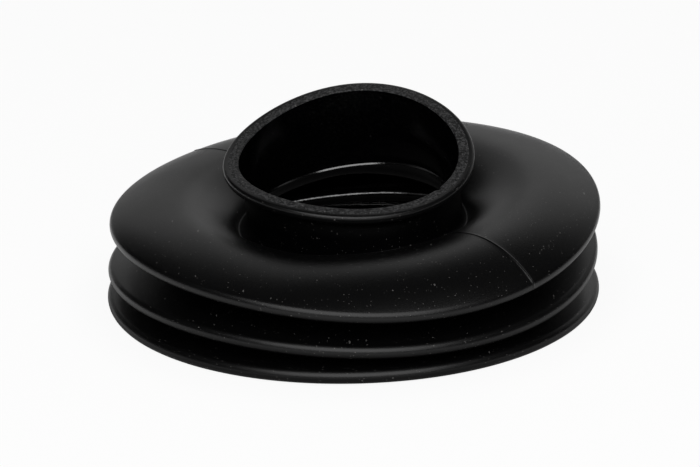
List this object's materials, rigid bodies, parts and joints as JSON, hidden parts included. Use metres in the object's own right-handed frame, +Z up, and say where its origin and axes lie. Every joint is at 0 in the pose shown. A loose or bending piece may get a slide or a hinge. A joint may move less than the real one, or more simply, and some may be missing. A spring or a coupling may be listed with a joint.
{
  "type": "bellows boot",
  "caption": "Round black rubber bellows boot with stacked outer folds, a low domed crown and a short slanted neck with a turned-out lip; open at the base and at the neck.",
  "frame": {"origin": "middle of the base fold, in the plane of the flat base lip", "axes": "+Z up from the base to the neck, square to the base lip; the neck leans towards -Y, which is the front, and +X is to the right seen from the front"},
  "size_m": [0.12, 0.12, 0.043],
  "materials": {
    "rubber_skin": "satin moulded skin with fine dust, a fine parting line and a roughly trimmed rim"
  },
  "bodies": {
    "root": {"bellows_boot": "rubber_skin"}
  },
  "joints": []
}
